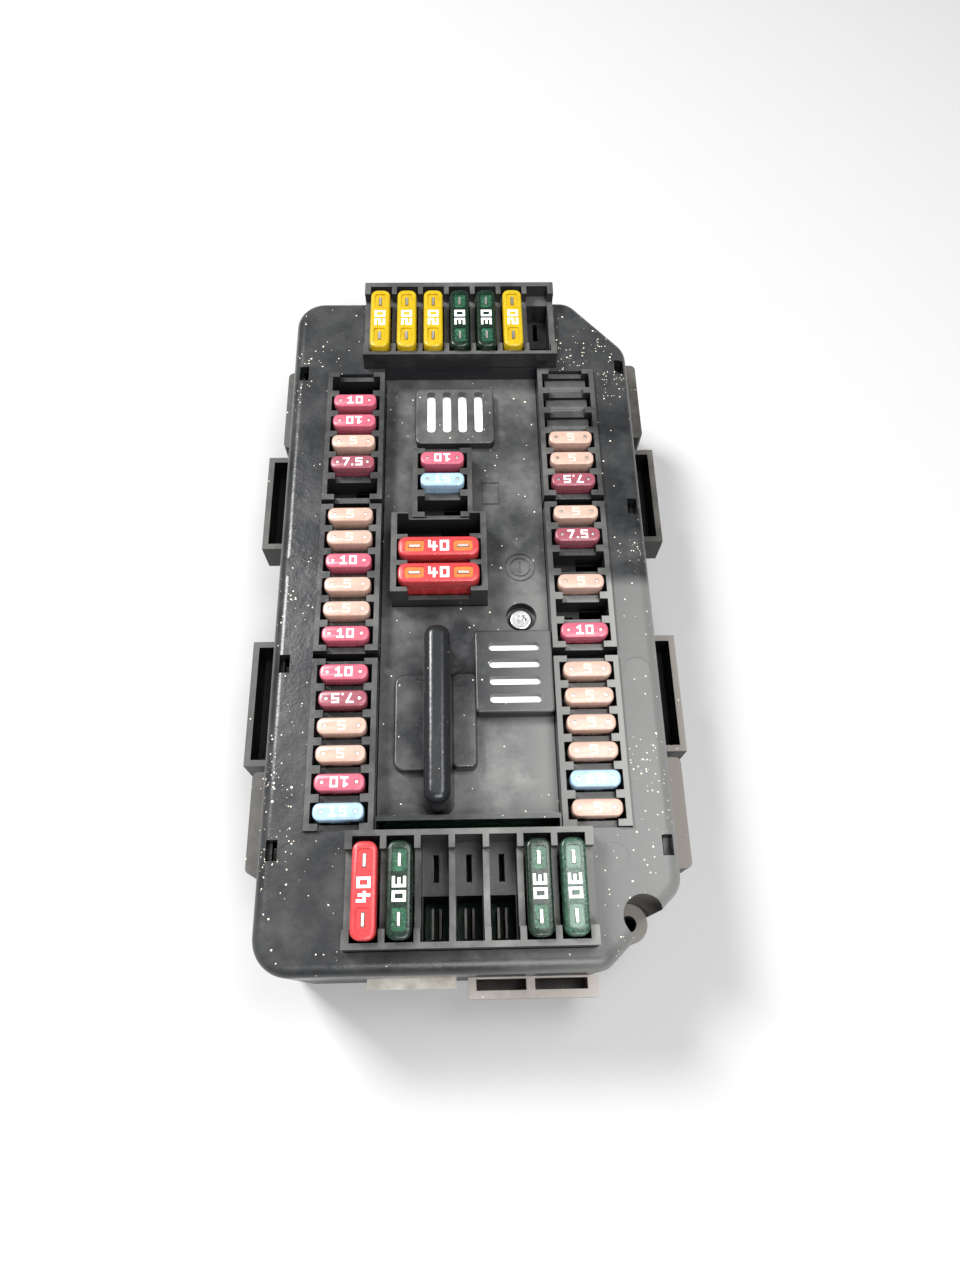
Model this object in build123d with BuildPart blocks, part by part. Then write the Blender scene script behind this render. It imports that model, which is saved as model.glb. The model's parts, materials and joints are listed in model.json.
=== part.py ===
"""Fuse box panel of a vehicle: a two-part casing that carries racks of plug-in blade fuses.

Millimetres. The origin is the middle of the underside. +Z is out of the panel, +Y is its far end.
"""
import os

from build123d import *

# ---- Levels, from the underside up --------------------------------------------------------------
WALL = 2.4
SPLIT_LEVEL = 26.0
DECK_LEVEL = 37.0
RIM_LEVEL = 41.6
BOARD_BOTTOM = 20.0
BOARD_TOP = 21.6
RACK_BASE = 24.0
LOOP_TOP = 27.5
BLOCK_TOP = 29.5
GAP = 0.3
RACK_FIT = 0.15

# ---- Casing outline -----------------------------------------------------------------------------
CASE_HALF_WIDTH = 44.6
CASE_FAR = 89.0
CASE_NEAR = -85.5
FAR_CHAMFER_X = 30.0
FAR_CHAMFER_Y = 72.0
NEAR_CHAMFER_X = 27.6
NEAR_CHAMFER_Y = -69.4
CORNER_RADII = (8, 5, 6, 7, 6, 7.5)
RIM_EDGE_RADIUS = 2.8
UNDERSIDE_EDGE_RADIUS = 1.2
LUG_CENTER = (35.9, -75.0)
LUG_RADIUS = 4.3
LUG_WALL_RADIUS = 6.8
LUG_TOP = 22.0
LUG_BORE_RADIUS = 1.8
LUG_CLEARANCE_RADIUS = 4.4

# ---- Sunken middle of the deck ------------------------------------------------------------------
RECESS_HALF_WIDTH = 20.2
RECESS_FAR = 65.4
RECESS_NEAR = -53.5
CROSS_GAP_FAR = -54.6
CROSS_GAP_NEAR = -57.2

# ---- Mini fuses: a short, narrow blade fuse ------------------------------------------------------
MINI = dict(length=10.92, thickness=3.8, body=8.8, total=16.3, blade_width=2.8, blade_thick=0.8)
MINI_PITCH = 6.3
MINI_TOP = 44.0

# ---- Blade fuses: the full-size blade fuse -------------------------------------------------------
BLADE = dict(length=19.1, thickness=5.1, body=12.0, total=18.5, blade_width=5.2, blade_thick=0.65)
BLADE_PITCH = 7.0
TOP_ROW_TOP = 48.8
CENTRE_ROW_TOP = 47.2
BOTTOM_ROW_TOP = 49.8

# ---- Fuse positions: the first place of each run and how many places it has ---------------------
LEFT_X = -27.5
RIGHT_X = 27.5
RUN_PLACES = 6
LEFT_RUNS = (59.8, 19.5, -21.4)
RIGHT_RUNS = (60.4, 19.6, -21.5)
LEFT_EMPTY = (0, 5)
RIGHT_BLANKED = (0, 1, 2)
RIGHT_EMPTY = (8, 10)
CENTRE_MINI_X = -5.1
CENTRE_MINI_FIRST = 35.6
CENTRE_BLADE_X = -6.0
CENTRE_BLADE_FIRST = 15.8
TOP_ROW_FIRST = -21.2
TOP_ROW_Y = 76.2
BOTTOM_ROW_FIRST = -21.0
BOTTOM_ROW_Y = -69.7
ROW_PLACES = 7

# ---- Racks --------------------------------------------------------------------------------------
MINI_RIM = 42.6
CENTRE_BLADE_RIM = 45.4
TOP_ROW_RIM = 47.0
BOTTOM_ROW_RIM = 47.6
MINI_RACK_WALL = 1.2
MINI_POCKET = (12.4, 4.5)
MINI_TOOTH = 1.8
RUN_END = 3.75
MINI_DROP = 2.0
BLADE_POCKET_WIDTH = 5.7
BLADE_TOOTH = 2.6
BLADE_DROP = 3.0
CENTRE_NEAR_WALL_TOP = 40.6
PARTITION_CUT = 3.0
SHELF_THICKNESS = 1.4
SLOT_CLEARANCE = 0.6
WELL_MARGIN = 0.2
BLANK_HALF_LENGTH = 5.4
BLANK_DEPTH = 3.2

# ---- Terminals ----------------------------------------------------------------------------------
LEAF = 0.5
LEAF_GAP = 0.25
WELL_LEAF_DROP = 2.4
TERMINAL_START = BOARD_TOP + 0.05


def blade_shift(kind):
    """How far each blade's middle is from the fuse's middle."""
    margin = 1.5 if kind is BLADE else 1.0
    return (kind["length"] - kind["blade_width"]) / 2 - margin


def run_of_places(first, count, pitch):
    """Evenly spaced positions that step down from the first one."""
    return [first - pitch * step for step in range(count)]


left_places = []
for first_place in LEFT_RUNS:
    left_places += run_of_places(first_place, RUN_PLACES, MINI_PITCH)
right_places = []
for first_place in RIGHT_RUNS:
    right_places += run_of_places(first_place, RUN_PLACES, MINI_PITCH)
centre_mini_places = run_of_places(CENTRE_MINI_FIRST, 3, MINI_PITCH)
centre_blade_places = run_of_places(CENTRE_BLADE_FIRST, 3, BLADE_PITCH)
top_places = run_of_places(TOP_ROW_FIRST, ROW_PLACES, -BLADE_PITCH)
bottom_places = run_of_places(BOTTOM_ROW_FIRST, ROW_PLACES, -BLADE_PITCH)


def save(part, name):
    """Label a finished piece and write it as its own STEP file."""
    part.label = name
    export_step(part, "parts/" + name + ".step")


def outline(inset):
    """The casing's plan shape, moved in by the inset."""
    corners = [
        (-CASE_HALF_WIDTH, CASE_NEAR),
        (NEAR_CHAMFER_X, CASE_NEAR),
        (CASE_HALF_WIDTH, NEAR_CHAMFER_Y),
        (CASE_HALF_WIDTH, FAR_CHAMFER_Y),
        (FAR_CHAMFER_X, CASE_FAR),
        (-CASE_HALF_WIDTH, CASE_FAR),
    ]
    with BuildSketch() as plan:
        with BuildLine():
            FilletPolyline(corners, radius=list(CORNER_RADII), close=True)
        make_face()
        if inset:
            offset(amount=-inset, mode=Mode.REPLACE)
    return plan.sketch


def prism(bounds, levels, mode=Mode.ADD, corner=0):
    """A block between plan bounds (x low, x high, y low, y high) and two levels."""
    x_low, x_high, y_low, y_high = bounds
    with BuildSketch(Plane.XY.offset(levels[0])) as profile:
        with Locations(((x_low + x_high) / 2, (y_low + y_high) / 2)):
            if corner:
                RectangleRounded(x_high - x_low, y_high - y_low, corner)
            else:
                Rectangle(x_high - x_low, y_high - y_low)
    extrude(profile.sketch, amount=levels[1] - levels[0], mode=mode)


def plateau(bounds, levels, corner):
    """A raised block whose top edges are rounded."""
    with BuildPart(mode=Mode.PRIVATE) as block:
        prism(bounds, levels, corner=corner)
        fillet(block.faces().sort_by(Axis.Z)[-1].edges(), PLATEAU_EDGE_RADIUS)
    add(block.part)


def rod(center, radius, levels, mode=Mode.ADD):
    """An upright cylinder between two levels."""
    with BuildSketch(Plane.XY.offset(levels[0])) as profile:
        with Locations(center):
            Circle(radius)
    extrude(profile.sketch, amount=levels[1] - levels[0], mode=mode)


# ---- Fuses --------------------------------------------------------------------------------------
def fuse(kind):
    """A fuse along X with its head's top at level 0.

    A plastic head and body hold a metal element: two blades and the link between them.
    """
    is_blade_size = kind is BLADE
    length = kind["length"]
    thick = kind["thickness"]
    bottom = -kind["body"]
    head_height = 0.3 * kind["body"]
    waist = length - (1.6 if is_blade_size else 1.0)
    cavity_top = -0.9 if is_blade_size else -1.2
    test_slot_length = 2.7 if is_blade_size else 0.9
    slot_thick = kind["blade_thick"] + 0.16
    blade_spots = [(-blade_shift(kind), 0), (blade_shift(kind), 0)]
    with BuildPart() as piece:
        with BuildSketch(Plane.XY.offset(-head_height)):
            if is_blade_size:
                RectangleRounded(length, thick, 1.7)
            else:
                SlotOverall(length, thick)
                Rectangle(length - 2.4, thick)
        extrude(amount=head_height)
        fillet(piece.edges().group_by(Axis.Z)[-1], 0.35)
        with BuildSketch(Plane.XY.offset(bottom)):
            RectangleRounded(waist, thick - 0.6, 0.8)
        extrude(amount=kind["body"] - head_height)
        # Room for the element, and the two test slots in the head
        with BuildSketch(Plane.XY.offset(bottom)):
            Rectangle(2 * blade_shift(kind) + kind["blade_width"] + 0.16, slot_thick)
        extrude(amount=cavity_top - bottom, mode=Mode.SUBTRACT)
        with BuildSketch(Plane.XY.offset(cavity_top)):
            with Locations(blade_spots):
                Rectangle(test_slot_length, slot_thick)
        extrude(amount=-cavity_top, mode=Mode.SUBTRACT)
        # The element
        with BuildSketch(Plane.XY.offset(-kind["total"])):
            with Locations(blade_spots):
                Rectangle(kind["blade_width"], kind["blade_thick"])
        extrude(amount=kind["total"] + cavity_top - 0.15)
        with BuildSketch(Plane.XY.offset(0.55 * bottom)):
            Rectangle(2 * blade_shift(kind), 0.6 * kind["blade_thick"])
        extrude(amount=1.6)
    return piece.part


def placed_fuse(pattern, center, top, lies_along_x):
    """A fuse like the pattern, stood in its place."""
    turn = 0 if lies_along_x else 90
    with BuildPart() as piece:
        with Locations(Location((center[0], center[1], top), (0, 0, turn))):
            add(pattern)
    return piece.part


def fuse_names(prefix, places, skipped):
    """Name each place that holds a fuse by its number in the run."""
    return [(prefix + str(number + 1).zfill(2), place)
            for number, place in enumerate(places) if number not in skipped]


def all_fuses():
    """Every fuse as name, kind, centre, head level and whether it lies along X."""
    fuses = []
    for name, y in fuse_names("left_fuse_", left_places, LEFT_EMPTY):
        fuses.append((name, MINI, (LEFT_X, y), MINI_TOP, True))
    for name, y in fuse_names("right_fuse_", right_places, RIGHT_BLANKED + RIGHT_EMPTY):
        fuses.append((name, MINI, (RIGHT_X, y), MINI_TOP, True))
    for name, y in fuse_names("centre_fuse_", centre_mini_places, (2,)):
        fuses.append((name, MINI, (CENTRE_MINI_X, y), MINI_TOP, True))
    for name, y in fuse_names("centre_blade_fuse_", centre_blade_places, (0,)):
        fuses.append((name, BLADE, (CENTRE_BLADE_X, y), CENTRE_ROW_TOP, True))
    for name, x in fuse_names("top_blade_fuse_", top_places, (6,)):
        fuses.append((name, BLADE, (x, TOP_ROW_Y), TOP_ROW_TOP, False))
    for name, x in fuse_names("bottom_blade_fuse_", bottom_places, (2, 3, 4)):
        fuses.append((name, BLADE, (x, BOTTOM_ROW_Y), BOTTOM_ROW_TOP, False))
    return fuses


# ---- Racks --------------------------------------------------------------------------------------
def rack(kind, frames, centers, top, rim, pocket, tooth, drop, lies_along_x, partitions,
         blanked=(), pocket_shift=0.0):
    """A carrier with one pocket for each fuse, toothed side walls and lower cross walls.

    Under each pocket one blade goes down a narrow slot in a shelf and the other down a deep well.
    """
    shelf = top - kind["body"] - 0.05
    chamber = (kind["blade_width"] + 1.6, 3.2)

    def plan(along, across):
        return (along, across) if lies_along_x else (across, along)

    def shifted(center, along):
        dx, dy = plan(along, 0)
        return (center[0] + dx, center[1] + dy)

    with BuildPart() as carrier:
        for bounds in frames:
            prism(bounds, (RACK_BASE, rim))
        with BuildSketch(Plane.XY.offset(shelf)):
            with Locations([shifted(c, pocket_shift) for c in centers]):
                Rectangle(*plan(*pocket))
        extrude(amount=rim - shelf, mode=Mode.SUBTRACT)
        with BuildSketch(Plane.XY.offset(rim - drop)):
            with Locations([shifted(c, pocket_shift) for c in partitions]):
                Rectangle(*plan(pocket[0] - 2 * tooth, PARTITION_CUT))
        extrude(amount=drop, mode=Mode.SUBTRACT)
        # Shelf slots for the blade on one side
        slot_side = -1 if lies_along_x else 1
        slot_spots = [shifted(c, slot_side * blade_shift(kind)) for c in centers]
        with BuildSketch(Plane.XY.offset(RACK_BASE)):
            with Locations(slot_spots):
                Rectangle(*plan(kind["blade_width"] + SLOT_CLEARANCE,
                                kind["blade_thick"] + SLOT_CLEARANCE))
        extrude(amount=shelf - RACK_BASE, mode=Mode.SUBTRACT)
        with BuildSketch(Plane.XY.offset(RACK_BASE)):
            with Locations(slot_spots):
                Rectangle(*plan(*chamber))
        extrude(amount=shelf - SHELF_THICKNESS - RACK_BASE, mode=Mode.SUBTRACT)
        # Deep wells, nearly as wide as the pockets, on the other side
        well_end = pocket[0] / 2 - pocket_shift - WELL_MARGIN
        with BuildSketch(Plane.XY.offset(RACK_BASE)):
            with Locations([shifted(c, -slot_side * (well_end + WELL_MARGIN) / 2) for c in centers]):
                Rectangle(*plan(well_end - WELL_MARGIN, pocket[1] - WELL_MARGIN))
        extrude(amount=shelf - RACK_BASE, mode=Mode.SUBTRACT)
        # Blanked places: a round-topped bar closes the pocket
        for cap_x, cap_y in blanked:
            with BuildSketch(Plane.YZ.offset(cap_x - BLANK_HALF_LENGTH)):
                with Locations((cap_y, (RACK_BASE + rim - BLANK_DEPTH) / 2)):
                    Rectangle(pocket[1] + 0.2, rim - BLANK_DEPTH - RACK_BASE)
                with Locations((cap_y, rim - BLANK_DEPTH)):
                    Ellipse(pocket[1] / 2, 1.4)
            extrude(amount=2 * BLANK_HALF_LENGTH)
    return carrier.part


def cross_walls(places, pitch):
    """The cross walls of a run, half a pitch to each side of its places."""
    return [places[0] + pitch / 2] + [place - pitch / 2 for place in places]


def side_rack(center_x, places, runs, blanked_numbers):
    """A long rack of mini fuses in three runs, standing on one rail."""
    half_width = MINI_POCKET[0] / 2 + MINI_RACK_WALL
    centers = [(center_x, y) for y in places]
    frames = []
    partitions = []
    run_tail = MINI_PITCH * (RUN_PLACES - 1)
    for first in runs:
        frames.append((center_x - half_width, center_x + half_width,
                       first - run_tail - RUN_END, first + RUN_END))
        run = run_of_places(first, RUN_PLACES, MINI_PITCH)
        partitions += [(center_x, y) for y in cross_walls(run, MINI_PITCH)]
    blanked = [centers[number] for number in blanked_numbers]
    long_rack = rack(MINI, frames, centers, MINI_TOP, MINI_RIM, MINI_POCKET, MINI_TOOTH,
                     MINI_DROP, True, partitions, blanked)
    with BuildPart() as joined:
        add(long_rack)
        # The rail that joins the runs across their gaps
        for upper, lower in zip(runs, runs[1:]):
            prism((center_x - half_width, center_x + half_width,
                   lower + RUN_END - 0.2, upper - run_tail - RUN_END + 0.2),
                  (RACK_BASE, DECK_LEVEL - 1.0))
    return joined.part


left_fuse_rack = side_rack(LEFT_X, left_places, LEFT_RUNS, ())
right_fuse_rack = side_rack(RIGHT_X, right_places, RIGHT_RUNS, RIGHT_BLANKED)

CENTRE_MINI_RACK = (-12.5, 2.3, 19.3, 39.4)
mini_centers = [(CENTRE_MINI_X, y) for y in centre_mini_places]
centre_mini_rack = rack(
    MINI, [CENTRE_MINI_RACK], mini_centers, MINI_TOP, MINI_RIM, MINI_POCKET, MINI_TOOTH,
    MINI_DROP, True, [(CENTRE_MINI_X, y) for y in cross_walls(centre_mini_places, MINI_PITCH)])

CENTRE_BLADE_RACK = (-17.4, 5.4, -2.2, 19.0)
CENTRE_BLADE_POCKET = (20.0, BLADE_POCKET_WIDTH)
blade_centers = [(CENTRE_BLADE_X, y) for y in centre_blade_places]
centre_blade_rack = rack(
    BLADE, [CENTRE_BLADE_RACK], blade_centers, CENTRE_ROW_TOP, CENTRE_BLADE_RIM,
    CENTRE_BLADE_POCKET, BLADE_TOOTH, BLADE_DROP, True,
    [(CENTRE_BLADE_X, y) for y in cross_walls(centre_blade_places, BLADE_PITCH)])
with BuildPart() as lowered_centre_rack:
    add(centre_blade_rack)
    # The near wall is lower still, so the last fuse can be gripped
    grip_half = CENTRE_BLADE_POCKET[0] / 2 - BLADE_TOOTH
    prism((CENTRE_BLADE_X - grip_half, CENTRE_BLADE_X + grip_half, CENTRE_BLADE_RACK[2] - 1, 0.0),
          (CENTRE_NEAR_WALL_TOP, CENTRE_BLADE_RIM + 1), mode=Mode.SUBTRACT)
centre_blade_rack = lowered_centre_rack.part

TOP_RACK = (-25.6, 25.2, 65.6, 86.2)
TOP_RACK_FAR = 90.0
TOP_LEDGE = 43.2
TOP_FAR_WALL = 1.0
TOP_POCKET_SHIFT = 1.4
TOP_POCKET = (22.0, BLADE_POCKET_WIDTH)
top_centers = [(x, TOP_ROW_Y) for x in top_places]
top_blade_rack = rack(
    BLADE, [(TOP_RACK[0], TOP_RACK[1], TOP_RACK[2], TOP_RACK_FAR)],
    top_centers, TOP_ROW_TOP, TOP_ROW_RIM, TOP_POCKET, BLADE_TOOTH, BLADE_DROP, False,
    [(x, TOP_ROW_Y) for x in cross_walls(top_places, -BLADE_PITCH)],
    pocket_shift=TOP_POCKET_SHIFT)
with BuildPart() as trimmed_top_rack:
    add(top_blade_rack)
    # Only the rim and a ledge under it reach out over the casing's edge
    prism((TOP_RACK[0] - 1, TOP_RACK[1] + 1, TOP_RACK[3], TOP_RACK_FAR + 1),
          (RACK_BASE - 1, RIM_LEVEL + GAP), mode=Mode.SUBTRACT)
    wall_start = TOP_RACK[3] - TOP_FAR_WALL
    prism((TOP_RACK[0], TOP_RACK[1], wall_start, TOP_RACK_FAR), (RIM_LEVEL + GAP, TOP_LEDGE))
    prism((TOP_RACK[0], TOP_RACK[1], wall_start, TOP_RACK[3]), (RACK_BASE, TOP_LEDGE))
top_blade_rack = trimmed_top_rack.part

BOTTOM_RACK = (-25.4, 25.6, -80.8, -57.6)
BOTTOM_POCKET = (20.8, BLADE_POCKET_WIDTH)
bottom_centers = [(x, BOTTOM_ROW_Y) for x in bottom_places]
bottom_blade_rack = rack(
    BLADE, [BOTTOM_RACK], bottom_centers, BOTTOM_ROW_TOP, BOTTOM_ROW_RIM, BOTTOM_POCKET,
    BLADE_TOOTH, BLADE_DROP, False,
    [(x, BOTTOM_ROW_Y) for x in cross_walls(bottom_places, -BLADE_PITCH)], pocket_shift=0.5)

SIDE_RACK_HALF = MINI_POCKET[0] / 2 + MINI_RACK_WALL
RUN_TAIL = MINI_PITCH * (RUN_PLACES - 1)
LEFT_RACK = (LEFT_X - SIDE_RACK_HALF, LEFT_X + SIDE_RACK_HALF,
             LEFT_RUNS[-1] - RUN_TAIL - RUN_END, LEFT_RUNS[0] + RUN_END)
RIGHT_RACK = (RIGHT_X - SIDE_RACK_HALF, RIGHT_X + SIDE_RACK_HALF,
              RIGHT_RUNS[-1] - RUN_TAIL - RUN_END, RIGHT_RUNS[0] + RUN_END)
RACKS = (LEFT_RACK, RIGHT_RACK, CENTRE_MINI_RACK, CENTRE_BLADE_RACK, TOP_RACK, BOTTOM_RACK)

# ---- Upper housing ------------------------------------------------------------------------------
VENT_SLOT_WIDTH = 2.1
FAR_VENT = (-12.2, 8.5, 43.0, 60.5)
FAR_VENT_TOP = 39.5
FAR_VENT_SLOTS = [(x, 52.9) for x in (-8.0, -3.9, 0.2, 4.4)]
FAR_VENT_SLOT_LENGTH = 12.8
NEAR_VENT = (2.0, 20.2, -30.5, -10.3)
NEAR_VENT_TOP = 40.8
NEAR_VENT_SLOTS = [(11.3, y) for y in (-14.5, -18.7, -22.9, -27.2)]
NEAR_VENT_SLOT_LENGTH = 11.8
RIDGE_CENTER = (-6.4, -32.5)
RIDGE_SIZE = (7.0, 41.5)
RIDGE_TOP = 50.4
RIDGE_CORNER = 3.2
RIDGE_EDGE_RADIUS = 2.0
PLATEAU_EDGE_RADIUS = 0.6
SCREW_CENTER = (13.5, -5.4)
SCREW_RECESS_RADIUS = 3.7
SCREW_RECESS_FLOOR = 34.0
SCREW_BOSS_RADIUS = 4.9
SCREW_BOSS_BOTTOM = 32.0
DIAL_CENTER = (13.7, 8.0)
DIAL_RADII = (3.85, 2.6)
GROOVE = 0.35
GROOVE_DEPTH = 0.3
LEFT_WING = (-16.4, -8.0, -43.2, -20.5)
RIGHT_WING = (-3.4, 2.3, -43.0, -20.7)
LATCH_WINDOWS = ((-41.5, 64.0), (42.2, 65.6), (42.0, 22.4), (-41.4, -18.4), (-41.4, -60.4),
                 (42.2, -60.7))
LATCH_WINDOW_SIZE = (2.4, 4.4)
EJECTOR_MARKS = ((-37.0, -61.7), (30.6, -63.0), (-40.4, 6.5), (39.2, -20.9))
MARK_RADIUS = 3.0
MARK_DEPTH = 0.12
STAMP_CENTER = (7.0, 29.3)
STAMP_SIZE = (4.6, 6.6)

case_outline = outline(0)
inner_outline = outline(WALL)

with BuildPart() as upper_housing:
    with BuildSketch(Plane.XY.offset(SPLIT_LEVEL + 0.2)):
        add(case_outline)
    extrude(amount=RIM_LEVEL - SPLIT_LEVEL - 0.2)
    fillet(upper_housing.faces().sort_by(Axis.Z)[-1].edges(), RIM_EDGE_RADIUS)
    # Hollow underside, deeper under the rim than under the sunken middle
    with BuildSketch(Plane.XY.offset(SPLIT_LEVEL + 0.2)):
        add(inner_outline)
        with Locations(LUG_CENTER):
            Circle(LUG_WALL_RADIUS, mode=Mode.SUBTRACT)
    extrude(amount=DECK_LEVEL - WALL - SPLIT_LEVEL - 0.2, mode=Mode.SUBTRACT)
    with BuildSketch(Plane.XY.offset(DECK_LEVEL - WALL)):
        add(inner_outline)
        with Locations(LUG_CENTER):
            Circle(LUG_WALL_RADIUS, mode=Mode.SUBTRACT)
        with Locations((0, (RECESS_FAR + RECESS_NEAR) / 2)):
            Rectangle(2 * RECESS_HALF_WIDTH + 2 * WALL, RECESS_FAR - RECESS_NEAR + 2 * WALL,
                      mode=Mode.SUBTRACT)
    extrude(amount=RIM_LEVEL - DECK_LEVEL, mode=Mode.SUBTRACT)
    # Sunken middle
    prism((-RECESS_HALF_WIDTH, RECESS_HALF_WIDTH, RECESS_NEAR, RECESS_FAR),
          (DECK_LEVEL, RIM_LEVEL + 1), mode=Mode.SUBTRACT)
    # Raised plateaus
    plateau(FAR_VENT, (DECK_LEVEL - 0.5, FAR_VENT_TOP), 1.6)
    plateau(NEAR_VENT, (DECK_LEVEL - 0.5, NEAR_VENT_TOP), 1.0)
    plateau(RIGHT_WING, (DECK_LEVEL - 0.5, NEAR_VENT_TOP), 1.5)
    plateau(LEFT_WING, (DECK_LEVEL - 0.5, NEAR_VENT_TOP - 1.4), 2.4)
    # Hollows under the vents
    prism((FAR_VENT[0] + 1.0, FAR_VENT[1] - 1.0, FAR_VENT[2] + 1.0, FAR_VENT[3] - 0.6),
          (DECK_LEVEL - WALL - 0.1, FAR_VENT_TOP - 2.2), mode=Mode.SUBTRACT)
    prism((NEAR_VENT[0] + 1.2, NEAR_VENT[1] - 1.2, NEAR_VENT[2] + 1.0, NEAR_VENT[3] - 1.0),
          (DECK_LEVEL - WALL - 0.1, NEAR_VENT_TOP - 2.2), mode=Mode.SUBTRACT)
    with BuildSketch(Plane.XY.offset(DECK_LEVEL - WALL - 1)):
        with Locations(FAR_VENT_SLOTS):
            RectangleRounded(VENT_SLOT_WIDTH, FAR_VENT_SLOT_LENGTH, 0.9)
        with Locations(NEAR_VENT_SLOTS):
            RectangleRounded(NEAR_VENT_SLOT_LENGTH, VENT_SLOT_WIDTH, 0.9)
    extrude(amount=8, mode=Mode.SUBTRACT)
    # Grip ridge
    with BuildSketch(Plane.XY.offset(DECK_LEVEL - 0.5)):
        with Locations(RIDGE_CENTER):
            RectangleRounded(RIDGE_SIZE[0], RIDGE_SIZE[1], RIDGE_CORNER)
    extrude(amount=RIDGE_TOP - DECK_LEVEL + 0.5, taper=3)
    fillet(upper_housing.faces().sort_by(Axis.Z)[-1].edges(), RIDGE_EDGE_RADIUS)
    # Rack openings and the gap across the near end
    for x_low, x_high, y_low, y_high in RACKS:
        prism((x_low - RACK_FIT, x_high + RACK_FIT, y_low - RACK_FIT, y_high + RACK_FIT),
              (SPLIT_LEVEL, RIM_LEVEL + 2), mode=Mode.SUBTRACT)
    prism((-19.6, 19.6, CROSS_GAP_NEAR - 0.4, CROSS_GAP_FAR), (SPLIT_LEVEL, RIM_LEVEL + 2),
          mode=Mode.SUBTRACT)
    # Screw seat on its boss
    rod(SCREW_CENTER, SCREW_BOSS_RADIUS, (SCREW_BOSS_BOTTOM, DECK_LEVEL - 0.5))
    rod(SCREW_CENTER, SCREW_RECESS_RADIUS, (SCREW_RECESS_FLOOR, DECK_LEVEL + 1), mode=Mode.SUBTRACT)
    rod(SCREW_CENTER, 1.7, (SCREW_BOSS_BOTTOM - 1, DECK_LEVEL + 1), mode=Mode.SUBTRACT)
    # Latch windows
    with BuildSketch(Plane.XY.offset(DECK_LEVEL)):
        with Locations(LATCH_WINDOWS):
            Rectangle(*LATCH_WINDOW_SIZE)
    extrude(amount=RIM_LEVEL + 1 - DECK_LEVEL, mode=Mode.SUBTRACT)
    # Moulded dial with its pointer, and a stamp's frame
    with BuildSketch(Plane.XY.offset(DECK_LEVEL - GROOVE_DEPTH)):
        with Locations(DIAL_CENTER):
            for ring in DIAL_RADII:
                Circle(ring)
                Circle(ring - GROOVE, mode=Mode.SUBTRACT)
            Rectangle(GROOVE, 3.0)
        with Locations(STAMP_CENTER):
            Rectangle(*STAMP_SIZE)
            Rectangle(STAMP_SIZE[0] - 2 * GROOVE, STAMP_SIZE[1] - 2 * GROOVE, mode=Mode.SUBTRACT)
    extrude(amount=1, mode=Mode.SUBTRACT)
    # Shallow round marks that the mould's ejector pins leave
    for mark in EJECTOR_MARKS:
        rod(mark, MARK_RADIUS, (RIM_LEVEL - MARK_DEPTH, RIM_LEVEL + 1), mode=Mode.SUBTRACT)
    # Round notch that leaves the mounting lug's screw free
    rod(LUG_CENTER, LUG_CLEARANCE_RADIUS, (SPLIT_LEVEL, RIM_LEVEL + 1), mode=Mode.SUBTRACT)

# ---- Lower housing ------------------------------------------------------------------------------
LOOP_REACH = 52.3
LOOP_BAR = 1.5
LOOP_BOTTOM = 18.0
LOOP_FLOOR = 19.4
LEFT_LOOPS = ((19.2, 47.3), (-38.5, -7.0))
RIGHT_LOOPS = ((20.2, 48.9), (-36.5, -6.6))
BLOCK_BOTTOM = 8.0
SIDE_BLOCKS = (
    (-48.3, -44.9, 49.2, 74.2),
    (-49.5, -44.9, -63.5, -40.4),
    (44.9, 49.5, 51.6, 76.2),
    (44.9, 50.0, -64.0, -38.5),
)
HEADER_CENTERS = [(0, y) for y in (58.0, 20.0, -20.0, -56.0)]
HEADER_SIZE = (38.0, 20.0)
POST_CENTERS = [(x, y) for x in (-37.0, 37.0) for y in (55.0, -50.0)]
TAB = (-22.3, -3.0)
TAB_REACH = -87.7
TAB_LEVELS = (24.2, 25.7)

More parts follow.
